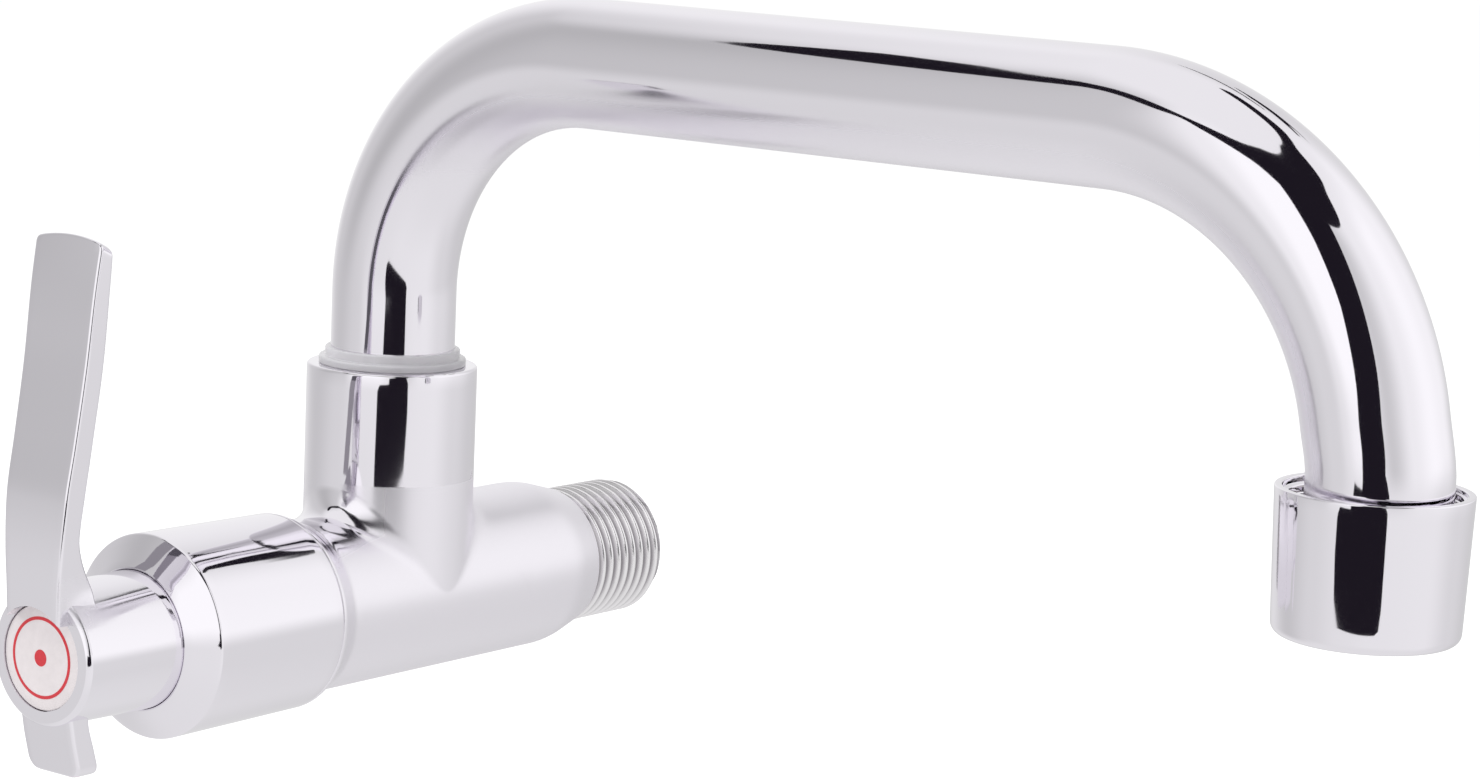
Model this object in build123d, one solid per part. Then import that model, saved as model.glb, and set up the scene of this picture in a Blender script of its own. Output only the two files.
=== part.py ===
from build123d import *
import os
from math import cos, pi, radians, sin, sqrt

# Wall-mounted quarter-turn tap with a swivelling tube spout. Millimetres, +Z up.
# The part's origin is the centre of the inlet thread where it starts, at the wall fitting.
# +Y runs into the wall along the thread, -Y out to the handle, and the spout reaches to +X.
# The pieces are drawn about the point where the barrel's axis meets the tower's axis, and
# moved to the part's origin at the end. A name ending in _y is a place along the barrel.

over_cut = 1.0                   # how far a groove's cutter runs past the surface

# Inlet
inlet_thread_d = 20.955          # G1/2 major diameter
inlet_thread_length = 14.4
inlet_chamfer = 0.9
inlet_bore_d = 15.0
inlet_bore_depth = 36.0
rear_taper_length = 6.3
rear_taper_step = 0.5            # radial step from the taper's end down to the thread

# Barrel and tower of the tap body
inlet_reach = 38.3               # from the thread's start to the tower's axis
barrel_d = 25.2
tower_d = 25.0
tower_height = 34.0
tower_fillet_r = 4.6             # where the tower's foot runs into the barrel
tower_rim_chamfer = 0.4
shoulder_offset = 16.6           # from the tower's axis to the shoulder's thin end
shoulder_length = 4.7
collar_d = 28.4
collar_length = 2.5
neck_wall = 1.9
neck_length = 11.7

# Waterway in the tap body
seat_offset = 12.0               # from the tower's axis to the seat that the cartridge seals on
seat_port_d = 9.0
chamber_gap = 1.0                # round the cartridge's skirt
chamber_length = 12.5
passage_d = 4.4
passage_inset = 1.2              # of the passages' circle inside the chamber's wall
passage_spread = 40.0            # degrees between neighbouring passages
passage_count = 3
well_d = 13.0
well_floor_height = 7.8

# Swivel joint in the tower
swivel_bore_d = 17.1
swivel_bore_depth = 20.5
swivel_fit = 0.05                # radial running fit
retaining_groove_depth = 0.75
retaining_groove_height = 2.0
retaining_groove_drop = 4.2      # from the tower's rim to the groove

# Bonnet cap
cap_overhang = 4.2               # from the cartridge's nose to the cap's front
cap_flare = 0.25                 # how much larger in radius the cap is in front than behind
cap_cone_length = 3.0
cap_front_wall = 1.5
cap_fit = 0.05                   # radial gap between the cap and the body's neck
cap_hole_gap = 0.15              # radial, round the turning hub
turning_gap = 0.3                # round faces that turn past each other without bearing

# Cartridge
headwork_thread_d = 20.9
headwork_thread_fit = 0.05
skirt_d = 17.6
skirt_wall = 1.5
skirt_gap_to_seat = 1.6
window_length = 3.8
window_width = 8.0
flange_inset = 0.4               # of the flange inside the neck's outside
flange_thickness = 2.0
hex_across_flats = 17.0
hex_length = 5.5
nose_d = 13.6
nose_length = 4.0
headwork_o_ring_section = 1.7
seal_height = 3.2
seal_support_wall = 0.7
disc_fit = 0.1                   # radial gap between the discs and the skirt
fixed_disc_thickness = 2.4
moving_disc_thickness = 2.0
disc_port_inner_r = 1.8
disc_port_outer_r = 5.4
disc_port_angle = 70.0
fork_length = 3.0
fork_width = 3.0
fork_engagement = 1.2
spindle_flange_thickness = 1.7
glide_washer_thickness = 0.6

# Spindle
spindle_d = 8.0
spindle_fit = 0.05
spindle_o_ring_section = 1.2
spindle_o_ring_spacing = 5.0
circlip_thickness = 0.7
circlip_d = 11.0
circlip_width = 2.0
circlip_gap = 0.3
circlip_opening = 60.0           # degrees
spline_teeth = 20
spline_depth = 0.35
spline_length = 9.6
spline_fit = 0.05
spline_root_gap = 0.4            # from the end of the spline to the end of its socket

# Handle
hub_front_depth = 10.2           # from the end of the spline to the hub's front
hub_rear_d = 19.6
hub_front_d = 18.9
hub_edge_round = 1.6
hub_insert = 2.6                 # how far the hub reaches into the cap
hub_counterbore_depth = 3.2
hub_counterbore_gap = 0.8        # radial, round the cartridge's nose
lever_height = 57.5              # from the barrel's axis to the lever's top
lever_top_crown = 0.8            # how much higher the top is in the middle than at its corners
lever_top_slope = 1.1            # how much lower the top is behind than in front
lever_top_width = 12.9
lever_waist_width = 10.6
lever_waist_height = 11.0
lever_thickness = 3.3
lever_step = 1.9                 # how far the lever's face stands in front of the hub
lever_bow = 5.8                  # how far the lever's top leans back towards the wall
lever_gusset = 3.3               # how much thicker the lever is where it meets the hub
lever_root_r = 6.0               # of the flare that runs from the lever's sides into the hub
lever_corner_r = 1.0
tail_length = 16.6               # from the barrel's axis to the tail's end
tail_bow = 4.8                   # how far the tail's end leans back
tail_width = 10.0
tail_corner_r = 2.0
index_d = 14.5
index_thickness = 0.9
index_dome = 0.3
index_plug_length = 0.8
index_fit = 0.05
screw_d = 3.9
screw_head_d = 7.6
screw_head_height = 2.4
screw_length = 12.5
screw_fit = 0.1
screw_head_gap = 0.3             # between the head and the index button
screw_head_clearance = 0.2       # radial, in its pocket
screw_socket_across_flats = 2.5

# Spout
tube_d = 18.2
tube_wall = 1.0
spout_height = 80.8              # tube's centre line above the barrel's axis
spout_reach = 162.5              # from the tower's axis to the outlet's axis
inner_bend_r = 36.0
outer_bend_r = 40.9
glide_ring_lip = 1.7             # how far it shows round the tube
glide_ring_height = 2.4
glide_ring_step = 0.8            # how far its upper step shows round the tube
glide_ring_step_height = 1.1
ferrule_bore_d = 11.0
ferrule_spigot_length = 9.0
ferrule_foot_gap = 0.5
ferrule_groove_depth = 1.0
spout_o_ring_section = 1.6
spout_o_ring_spacing = 4.4
spout_o_ring_lift = 3.6          # from the ferrule's foot to the lower ring's centre
split_ring_thickness = 1.4
split_ring_opening = 40.0        # degrees

# Outlet
cup_top_height = 39.0            # cup's rim above the barrel's axis
cup_height = 18.5
cup_wall = 1.0                   # at the bottom of the cup
cup_taper = 0.6                  # how much larger in radius the cup is at its rim
cup_bottom_round = 1.4
cup_rim_wall = 1.5
cup_lip_width = 2.05
cup_lip_thickness = 1.3
collar_height = 5.0
collar_drop = 3.2                # from the cup's rim to the collar's top
collar_wall = 1.5
collar_thread_fit = 0.05
gasket_thickness = 1.6
gasket_bore_d = 13.0
aerator_wall = 1.4
screen_thickness = 0.4
screen_drop = 1.0                # from the aerator's top to the screen
screen_ledge = 0.8
straightener_thickness = 2.0
straightener_cell = 2.4
straightener_web = 0.5

# Places along the barrel, from the tower's axis
thread_start_y = inlet_reach
thread_end_y = thread_start_y + inlet_thread_length
taper_start_y = thread_start_y - rear_taper_length
seat_y = -seat_offset
shoulder_thin_y = -shoulder_offset
shoulder_thick_y = shoulder_thin_y - shoulder_length
cap_rear_y = shoulder_thick_y - collar_length
neck_front_y = cap_rear_y - neck_length
chamber_front_y = seat_y - chamber_length
skirt_bottom_y = seat_y - skirt_gap_to_seat
fixed_disc_y = seat_y - seal_height
moving_disc_y = fixed_disc_y - fixed_disc_thickness
fork_root_y = moving_disc_y - moving_disc_thickness - fork_length + fork_engagement
washer_y = fork_root_y - spindle_flange_thickness
skirt_top_y = washer_y - glide_washer_thickness
flange_front_y = neck_front_y - flange_thickness
hex_front_y = flange_front_y - hex_length
nose_front_y = hex_front_y - nose_length
cap_front_y = nose_front_y - cap_overhang
cap_shoulder_y = cap_front_y + cap_cone_length
circlip_y = nose_front_y - circlip_gap
spline_start_y = circlip_y - circlip_thickness - circlip_gap
spline_end_y = spline_start_y - spline_length
hub_rear_y = cap_front_y + hub_insert
hub_front_y = spline_end_y - hub_front_depth
index_floor_y = hub_front_y + index_thickness
screw_seat_y = index_floor_y + index_plug_length + screw_head_gap + screw_head_height

# Mating sizes
thread_r = inlet_thread_d / 2
barrel_r = barrel_d / 2
tower_r = tower_d / 2
body_collar_r = collar_d / 2
headwork_r = headwork_thread_d / 2
socket_r = headwork_r + headwork_thread_fit
neck_r = socket_r + neck_wall
flange_r = neck_r - flange_inset
cap_bore_r = neck_r + cap_fit
cap_hole_r = hub_rear_d / 2 + cap_hole_gap
skirt_r = skirt_d / 2
skirt_inner_r = skirt_r - skirt_wall
chamber_r = skirt_r + chamber_gap
passage_circle_r = chamber_r - passage_inset
disc_r = skirt_inner_r - disc_fit
turning_r = skirt_inner_r - turning_gap
nose_r = nose_d / 2
pocket_r = screw_head_d / 2 + screw_head_clearance
spindle_r = spindle_d / 2
spindle_bore_r = spindle_r + spindle_fit
swivel_r = swivel_bore_d / 2
ferrule_r = swivel_r - swivel_fit
tube_r = tube_d / 2
tube_inner_r = tube_r - tube_wall
tube_foot_z = tower_height + glide_ring_height
ferrule_foot_z = tower_height - swivel_bore_depth + ferrule_foot_gap
retaining_groove_top_z = tower_height - retaining_groove_drop
cup_bottom_z = cup_top_height - cup_height
collar_top_z = cup_top_height - collar_drop
collar_foot_z = collar_top_z - collar_height
aerator_foot_z = cup_bottom_z + cup_lip_thickness
aerator_top_z = collar_foot_z - gasket_thickness
retaining_groove_r = swivel_r + retaining_groove_depth
tube_collar_r = tube_r + collar_wall
cup_bore_r = tube_collar_r + collar_thread_fit
cup_bottom_r = cup_bore_r + cup_wall
cup_top_r = cup_bottom_r + cup_taper
cup_lip_r = cup_bore_r - cup_lip_width
aerator_r = cup_bore_r - collar_thread_fit
aerator_inner_r = cup_lip_r - collar_thread_fit


def turned_y(*points):
    """Solid turned about the barrel's axis from (radius, y) points."""
    outline = Polyline(*[(r, y, 0) for r, y in points], close=True)
    return revolve(make_face(outline), Axis.Y)


def turned_z(*points):
    """Solid turned about the tower's axis from (radius, z) points."""
    outline = Polyline(*[(r, 0, z) for r, z in points], close=True)
    return revolve(make_face(outline), Axis.Z)


def rod_y(r, y_from, y_to):
    return turned_y((0, y_from), (r, y_from), (r, y_to), (0, y_to))


def rod_z(r, z_from, z_to):
    return turned_z((0, z_from), (r, z_from), (r, z_to), (0, z_to))


def ring_y(r_out, r_in, y_from, y_to):
    return turned_y((r_in, y_from), (r_out, y_from), (r_out, y_to), (r_in, y_to))


def ring_z(r_out, r_in, z_from, z_to):
    return turned_z((r_in, z_from), (r_out, z_from), (r_out, z_to), (r_in, z_to))


def o_ring_y(centre_r, section, y):
    return Pos(0, y, 0) * Rot(90, 0, 0) * Torus(centre_r, section / 2)


def o_ring_z(centre_r, section, z):
    return Pos(0, 0, z) * Torus(centre_r, section / 2)


def at_outlet(piece):
    return Pos(spout_reach, 0, 0) * piece


def wedge_y(r, angle, y_from, y_to):
    """Sector of a rod along the barrel, of this many degrees, centred on +Z."""
    half = radians(angle / 2)
    corners = [(0, 0), (-2 * r * sin(half), 2 * r * cos(half)), (2 * r * sin(half), 2 * r * cos(half))]
    face = make_face(Polyline(*[(x, y_from, z) for x, z in corners], close=True))
    return extrude(face, amount=abs(y_to - y_from), dir=(0, y_to - y_from, 0)) & rod_y(r, y_from, y_to)


# Tap body

def tap_body():
    shell = turned_y(
        (0, thread_end_y), (thread_r - inlet_chamfer, thread_end_y),
        (thread_r, thread_end_y - inlet_chamfer), (thread_r, thread_start_y),
        (thread_r + rear_taper_step, thread_start_y), (barrel_r, taper_start_y),
        (barrel_r, shoulder_thin_y), (body_collar_r, shoulder_thick_y), (body_collar_r, cap_rear_y),
        (neck_r, cap_rear_y), (neck_r, neck_front_y), (0, neck_front_y))
    body = shell + rod_z(tower_r, 0, tower_height)
    crease = [edge for edge in body.edges() if edge.geom_type not in (GeomType.LINE, GeomType.CIRCLE)]
    body = fillet(crease, tower_fillet_r)
    body = chamfer(body.edges().sort_by(Axis.Z)[-1], tower_rim_chamfer)
    body -= rod_y(inlet_bore_d / 2, thread_end_y - inlet_bore_depth, thread_end_y)
    body -= rod_y(seat_port_d / 2, seat_y, thread_end_y - inlet_bore_depth)
    body -= rod_y(chamber_r, chamber_front_y, seat_y)
    body -= rod_y(socket_r, neck_front_y, chamber_front_y)
    mouth_r = headwork_r + headwork_o_ring_section / 2
    body -= rod_y(mouth_r, neck_front_y, neck_front_y + headwork_o_ring_section)
    body -= rod_z(well_d / 2, well_floor_height, tower_height)
    body -= rod_z(swivel_r, tower_height - swivel_bore_depth, tower_height)
    groove_foot_z = retaining_groove_top_z - retaining_groove_height
    body -= rod_z(retaining_groove_r, groove_foot_z, retaining_groove_top_z)
    for i in range(passage_count):
        angle = (i - (passage_count - 1) / 2) * passage_spread
        passage = Pos(0, 0, passage_circle_r) * rod_y(passage_d / 2, seat_y, 0)
        body -= Rot(0, angle, 0) * passage
    return body


def bonnet_cap():
    inner_shoulder_y = cap_shoulder_y + cap_front_wall
    lip_y = cap_front_y + cap_front_wall
    return turned_y(
        (body_collar_r, cap_rear_y), (body_collar_r + cap_flare, cap_shoulder_y), (cap_hole_r, cap_front_y),
        (cap_hole_r, lip_y), (cap_bore_r, inner_shoulder_y), (cap_bore_r, cap_rear_y))


# Cartridge

def headwork_body():
    body = turned_y(
        (skirt_inner_r, skirt_bottom_y), (skirt_r, skirt_bottom_y), (skirt_r, chamber_front_y),
        (headwork_r, chamber_front_y), (headwork_r, neck_front_y + headwork_o_ring_section),
        (headwork_r - headwork_o_ring_section / 2, neck_front_y + headwork_o_ring_section),
        (headwork_r - headwork_o_ring_section / 2, neck_front_y), (flange_r, neck_front_y),
        (flange_r, flange_front_y), (nose_r, flange_front_y), (nose_r, nose_front_y),
        (spindle_bore_r, nose_front_y), (spindle_bore_r, skirt_top_y), (skirt_inner_r, skirt_top_y))
    hexagon = Plane.XZ * RegularPolygon(hex_across_flats / 2, 6, major_radius=False)
    nut = Pos(0, flange_front_y, 0) * extrude(hexagon, amount=hex_length)
    body += nut - rod_y(spindle_bore_r, hex_front_y, flange_front_y)
    window = Box(skirt_d * 1.2, window_length, window_width)
    body -= Pos(0, fork_root_y + window_length / 2, 0) * window
    return body


def headwork_o_ring():
    section = headwork_o_ring_section
    return o_ring_y(headwork_r, section, neck_front_y + section / 2)


def seat_seal():
    inner_r = seat_port_d / 2 + seal_support_wall
    return ring_y(disc_r, inner_r, seat_y, fixed_disc_y)


def seal_support_ring():
    return ring_y(seat_port_d / 2 + seal_support_wall, seat_port_d / 2, seat_y, fixed_disc_y)


def disc_port(y_from, y_to):
    """One of the two sector-shaped ports in a ceramic disc."""
    return wedge_y(disc_port_outer_r, disc_port_angle, y_from, y_to) - rod_y(
        disc_port_inner_r, y_from, y_to)


def fixed_disc():
    disc = rod_y(disc_r, moving_disc_y, fixed_disc_y)
    for angle in (90, 270):
        disc -= Rot(0, angle, 0) * disc_port(moving_disc_y, fixed_disc_y)
    return disc


def moving_disc():
    top_y = moving_disc_y - moving_disc_thickness
    disc = rod_y(turning_r, top_y, moving_disc_y)
    for angle in (0, 180):
        disc -= Rot(0, angle, 0) * disc_port(top_y, moving_disc_y)
    for side in (-1, 1):
        slot = Box(2 * fork_width, fork_engagement, fork_width + 2 * disc_fit)
        slot_y = top_y + fork_engagement / 2
        disc -= Pos(side * turning_r, slot_y, 0) * slot
    return disc


def glide_washer():
    return ring_y(disc_r, spindle_bore_r, skirt_top_y, washer_y)


# Spindle and its seals

def spindle_o_ring_y(i):
    return (nose_front_y + skirt_top_y) / 2 + (i - 0.5) * spindle_o_ring_spacing


def spline_profile(r, depth):
    """Outline of the splined end, with square teeth."""
    outline = Circle(r - depth)
    tooth_width = pi * (2 * r - depth) / spline_teeth / 2
    for i in range(spline_teeth):
        angle = 360 / spline_teeth * i
        outline += Rot(0, 0, angle) * Pos(r - depth, 0) * Rectangle(2 * depth, tooth_width)
    return Plane.XZ * outline


def spindle():
    body = rod_y(turning_r, washer_y, fork_root_y) + rod_y(spindle_r, spline_start_y, washer_y)
    spline = extrude(spline_profile(spindle_r - spline_fit, spline_depth), amount=spline_length)
    body += Pos(0, spline_start_y, 0) * spline
    for side in (-1, 1):
        tongue = Box(fork_width, fork_length, fork_width)
        tongue = Pos(side * (turning_r - fork_width / 2), fork_root_y + fork_length / 2, 0) * tongue
        body += tongue & rod_y(turning_r, fork_root_y, fork_root_y + fork_length)
    groove_r = spindle_r - spindle_o_ring_section + spindle_fit / 2
    for i in range(2):
        y = spindle_o_ring_y(i)
        half = spindle_o_ring_section * 0.6
        body -= ring_y(spindle_r + over_cut, groove_r, y - half, y + half)
    clip_floor_r = circlip_d / 2 - circlip_width
    body -= ring_y(spindle_r + over_cut, clip_floor_r, circlip_y - circlip_thickness, circlip_y)
    body -= rod_y(screw_d / 2 + screw_fit, spline_end_y, screw_seat_y + screw_length + screw_fit)
    return body


def spindle_o_ring(i):
    section = spindle_o_ring_section - spindle_fit / 2
    centre_r = spindle_r - section / 2
    return o_ring_y(centre_r, section, spindle_o_ring_y(i))


def spindle_circlip():
    inner_r = circlip_d / 2 - circlip_width
    ring = ring_y(circlip_d / 2, inner_r, circlip_y - circlip_thickness, circlip_y)
    return ring - wedge_y(circlip_d, circlip_opening, circlip_y - circlip_thickness, circlip_y)


# Handle

def lever_front_view():
    """Outline seen from the front: the arm, and the tail below it."""
    top = lever_top_width / 2
    waist = lever_waist_width / 2
    corner_z = lever_height - lever_top_crown
    right = Spline(
        (waist, lever_waist_height), (0.92 * top, 2 * lever_waist_height), (top, corner_z),
        tangents=((0, 1), (0, 1)))
    left = mirror(right, about=Plane.YZ)
    end = ThreePointArc(right @ 1, (0, lever_height), left @ 1)
    arm = make_face([right, left, end, Line(right @ 0, left @ 0)])
    arm = fillet(arm.vertices().group_by(Axis.Y)[-1], lever_corner_r)
    root = Pos(0, lever_waist_height / 2) * Rectangle(lever_waist_width, lever_waist_height)
    tail = Pos(0, -tail_length / 2) * Rectangle(tail_width, tail_length)
    tail = fillet(tail.vertices().group_by(Axis.Y)[0], tail_corner_r)
    return arm + root + tail


def lever_root_view():
    """Flare from the lever's sides into the hub, seen from the front."""
    hub_r = hub_front_d / 2
    centre_x = lever_waist_width / 2 + lever_root_r
    reach = hub_r + lever_root_r
    centre_z = sqrt(reach ** 2 - centre_x ** 2)
    root = Pos(0, centre_z / 2) * Rectangle(2 * centre_x * hub_r / reach, centre_z)
    for side in (-1, 1):
        root -= Pos(side * centre_x, centre_z) * Circle(lever_root_r)
    return root


def lever_side_view():
    """Outline seen from the side, as (y, z) points: a bowed bar, thicker where it meets the hub."""
    face_y = hub_front_y - lever_step
    back_y = face_y + lever_thickness
    hub_r = hub_front_d / 2
    front = Spline(
        (face_y + tail_bow, -tail_length), (face_y + 0.6 * tail_bow, -0.85 * hub_r),
        (face_y, 1.25 * hub_r), (face_y + 0.05 * lever_bow, 0.4 * lever_height),
        (face_y + 0.71 * lever_bow, 0.78 * lever_height), (face_y + lever_bow, lever_height))
    back = Spline(
        (back_y + 1.1 * tail_bow, -tail_length), (back_y + 0.6 * tail_bow, -0.85 * hub_r),
        (back_y + lever_gusset, 0), (back_y + 0.95 * lever_gusset, hub_r),
        (back_y + 0.05 * lever_gusset, 1.7 * hub_r), (back_y + 0.71 * lever_bow, 0.78 * lever_height),
        (back_y + 0.77 * lever_bow, lever_height - lever_top_slope))
    return make_face([front, back, Line(front @ 0, back @ 0), Line(front @ 1, back @ 1)])


def lever_handle():
    hub = turned_y(
        (0, hub_rear_y), (hub_rear_d / 2, hub_rear_y), (hub_front_d / 2, hub_front_y), (0, hub_front_y))
    rim = hub.edges().filter_by(GeomType.CIRCLE).sort_by(Axis.Y)[0]
    hub = fillet(rim, hub_edge_round)
    depth = hub_rear_y - hub_front_y + 2 * lever_step
    outline = Pos(0, hub_rear_y, 0) * extrude(Plane.XZ * lever_front_view(), amount=depth)
    root_depth = hub_rear_y - hub_front_y - hub_edge_round
    outline += Pos(0, hub_rear_y, 0) * extrude(Plane.XZ * lever_root_view(), amount=root_depth)
    bar = extrude(Plane.YZ * lever_side_view(), amount=lever_top_width, both=True)
    body = hub + (outline & bar)
    body -= rod_y(index_d / 2 + index_fit, hub_front_y - lever_step, index_floor_y)
    body -= rod_y(pocket_r, index_floor_y, screw_seat_y)
    socket_end_y = spline_end_y - spline_root_gap
    body -= rod_y(screw_d / 2 + screw_fit, screw_seat_y, socket_end_y)
    socket_start_y = hub_rear_y - hub_counterbore_depth
    body -= rod_y(nose_r + hub_counterbore_gap, socket_start_y, hub_rear_y)
    spline = extrude(spline_profile(spindle_r, spline_depth), amount=socket_start_y - socket_end_y)
    body -= Pos(0, socket_start_y, 0) * spline
    return body


def index_button():
    front_y = index_floor_y - index_thickness
    r = index_d / 2
    plug_r = pocket_r - index_fit
    plug_end_y = index_floor_y + index_plug_length
    return turned_y(
        (0, plug_end_y), (plug_r, plug_end_y), (plug_r, index_floor_y), (r, index_floor_y),
        (r, front_y + index_dome), (r * 0.6, front_y + index_dome * 0.3), (0, front_y))


def handle_screw():
    head_front_y = screw_seat_y - screw_head_height
    head = rod_y(screw_head_d / 2, head_front_y, screw_seat_y)
    shank = rod_y(screw_d / 2, screw_seat_y, screw_seat_y + screw_length)
    socket = Plane.XZ * RegularPolygon(screw_socket_across_flats / 2, 6, major_radius=False)
    depth = screw_head_height * 0.6
    return head + shank - Pos(0, head_front_y + depth, 0) * extrude(socket, amount=depth)


# Spout

def spout_path(foot_z, end_z):
    return FilletPolyline(
        (0, 0, foot_z), (0, 0, spout_height), (spout_reach, 0, spout_height), (spout_reach, 0, end_z),
        radius=[inner_bend_r, outer_bend_r])


def swept_rod(r, foot_z, end_z):
    path = spout_path(foot_z, end_z)
    return sweep(Plane.XY.offset(foot_z) * Circle(r), path)


def spout_tube():
    outside = swept_rod(tube_r, tube_foot_z, collar_foot_z)
    bore = swept_rod(tube_inner_r, tube_foot_z, collar_foot_z)
    return outside - bore


def spout_o_ring_z(i):
    return ferrule_foot_z + spout_o_ring_lift + i * spout_o_ring_spacing


def spout_ferrule():
    spigot_r = tube_inner_r - swivel_fit
    body = turned_z(
        (ferrule_bore_d / 2, ferrule_foot_z), (ferrule_r, ferrule_foot_z), (ferrule_r, tube_foot_z),
        (spigot_r, tube_foot_z), (spigot_r, tube_foot_z + ferrule_spigot_length),
        (ferrule_bore_d / 2, tube_foot_z + ferrule_spigot_length))
    for i in range(2):
        z = spout_o_ring_z(i)
        half = spout_o_ring_section * 0.6
        body -= ring_z(ferrule_r + over_cut, ferrule_r - spout_o_ring_section, z - half, z + half)
    top_z = retaining_groove_top_z
    groove_r = ferrule_r - ferrule_groove_depth
    body -= ring_z(ferrule_r + over_cut, groove_r, top_z - retaining_groove_height, top_z)
    return body


def spout_o_ring(i):
    section = spout_o_ring_section
    return o_ring_z(ferrule_r - section / 2, section, spout_o_ring_z(i))


def spout_split_ring():
    middle_z = retaining_groove_top_z - retaining_groove_height / 2
    bottom_z = middle_z - split_ring_thickness / 2
    r_out = retaining_groove_r - turning_gap
    r_in = ferrule_r - ferrule_groove_depth
    ring = ring_z(r_out, r_in, bottom_z, bottom_z + split_ring_thickness)
    half = radians(split_ring_opening / 2)
    reach = 2 * r_out
    corners = [(0, 0), (-reach * cos(half), reach * sin(half)), (-reach * cos(half), -reach * sin(half))]
    gap = make_face(Polyline(*[(x, y, bottom_z) for x, y in corners], close=True))
    return ring - extrude(gap, amount=split_ring_thickness)


def glide_ring():
    inner_r = swivel_r
    step_z = tower_height + glide_ring_step_height
    return turned_z(
        (inner_r, tower_height), (tube_r + glide_ring_lip, tower_height), (tube_r + glide_ring_lip, step_z),
        (tube_r + glide_ring_step, step_z), (tube_r + glide_ring_step, tube_foot_z), (inner_r, tube_foot_z))


# Outlet, drawn on the tower's axis and moved out to the end of the spout

def outlet_cup():
    cup = turned_z(
        (cup_lip_r, cup_bottom_z), (cup_bottom_r, cup_bottom_z), (cup_top_r, cup_top_height),
        (cup_top_r - cup_rim_wall, cup_top_height), (cup_bore_r, collar_top_z),
        (cup_bore_r, aerator_foot_z), (cup_lip_r, aerator_foot_z))
    bottom = cup.edges().filter_by(GeomType.CIRCLE).group_by(Axis.Z)[0].sort_by(SortBy.RADIUS)[-1]
    return at_outlet(fillet(bottom, cup_bottom_round))


def tube_end_collar():
    return at_outlet(ring_z(tube_collar_r, tube_r, collar_foot_z, collar_top_z))


def aerator_gasket():
    return at_outlet(ring_z(aerator_r, gasket_bore_d / 2, aerator_top_z, collar_foot_z))


def aerator_body():
    inner_r = aerator_inner_r
    screen_z = aerator_top_z - screen_drop - screen_thickness
    ledge_z = screen_z - screen_ledge
    body = turned_z(
        (inner_r, aerator_foot_z), (aerator_r, aerator_foot_z), (aerator_r, aerator_top_z),
        (inner_r, aerator_top_z), (inner_r, screen_z), (inner_r - aerator_wall, screen_z),
        (inner_r - aerator_wall, ledge_z), (inner_r, ledge_z))
    return at_outlet(body)


def aerator_screen():
    top_z = aerator_top_z - screen_drop
    return at_outlet(rod_z(aerator_inner_r, top_z - screen_thickness, top_z))


def flow_straightener():
    """Disc with a square grid of cells, pressed into the aerator's mouth."""
    r = aerator_inner_r
    disc = rod_z(r, aerator_foot_z, aerator_foot_z + straightener_thickness)
    pitch = straightener_cell + straightener_web
    count = int(r / pitch) + 1
    cells = []
    for i in range(-count, count + 1):
        for j in range(-count, count + 1):
            corner_r = sqrt((abs(i) + 0.5) ** 2 + (abs(j) + 0.5) ** 2) * pitch
            if corner_r < r - straightener_web:
                cells.append(Pos(i * pitch, j * pitch) * Rectangle(straightener_cell, straightener_cell))
    grid = extrude(Pos(0, 0, aerator_foot_z) * (Sketch() + cells), amount=straightener_thickness)
    return at_outlet(disc - grid)


pieces = {
    "tap_body": tap_body(),
    "bonnet_cap": bonnet_cap(),
    "headwork_body": headwork_body(),
    "headwork_o_ring": headwork_o_ring(),
    "seat_seal": seat_seal(),
    "seal_support_ring": seal_support_ring(),
    "fixed_disc": fixed_disc(),
    "moving_disc": moving_disc(),
    "spindle": spindle(),
    "glide_washer": glide_washer(),
    "spindle_o_ring_inner": spindle_o_ring(1),
    "spindle_o_ring_outer": spindle_o_ring(0),
    "spindle_circlip": spindle_circlip(),
    "lever_handle": lever_handle(),
    "index_button": index_button(),
    "handle_screw": handle_screw(),
    "spout_tube": spout_tube(),
    "spout_ferrule": spout_ferrule(),
    "spout_o_ring_lower": spout_o_ring(0),
    "spout_o_ring_upper": spout_o_ring(1),
    "spout_split_ring": spout_split_ring(),
    "glide_ring": glide_ring(),
    "tube_end_collar": tube_end_collar(),
    "outlet_cup": outlet_cup(),
    "aerator_gasket": aerator_gasket(),
    "aerator_body": aerator_body(),
    "aerator_screen": aerator_screen(),
    "flow_straightener": flow_straightener(),
}

os.makedirs("parts", exist_ok=True)
for name, piece in pieces.items():
    export_step(Pos(0, -inlet_reach, 0) * piece, f"parts/{name}.step")
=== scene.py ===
from math import atan2, ceil, cos, pi, radians, sin, sqrt, tan

import bmesh
import bpy
from mathutils import Matrix, Vector


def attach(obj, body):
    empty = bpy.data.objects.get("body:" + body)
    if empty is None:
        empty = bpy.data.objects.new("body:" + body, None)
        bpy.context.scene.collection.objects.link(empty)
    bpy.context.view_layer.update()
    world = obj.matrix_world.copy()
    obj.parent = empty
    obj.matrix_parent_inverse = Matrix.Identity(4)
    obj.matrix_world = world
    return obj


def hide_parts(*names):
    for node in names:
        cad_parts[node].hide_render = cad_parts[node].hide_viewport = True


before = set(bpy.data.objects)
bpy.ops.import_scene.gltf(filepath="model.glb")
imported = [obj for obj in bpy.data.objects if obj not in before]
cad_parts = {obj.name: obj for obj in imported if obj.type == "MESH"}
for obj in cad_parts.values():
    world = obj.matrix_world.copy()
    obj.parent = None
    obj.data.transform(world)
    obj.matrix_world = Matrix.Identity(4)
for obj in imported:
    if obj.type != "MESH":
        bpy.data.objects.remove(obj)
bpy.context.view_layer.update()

bl_info = {
    "name": "Wall-mounted kitchen tap",
    "version": (1, 0, 0),
    "blender": (4, 5, 0),
    "location": "View3D > Sidebar > Tap",
    "description": "Dresses the CAD model of a chrome tap and sets it in a plain studio",
    "category": "Object",
}

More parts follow.
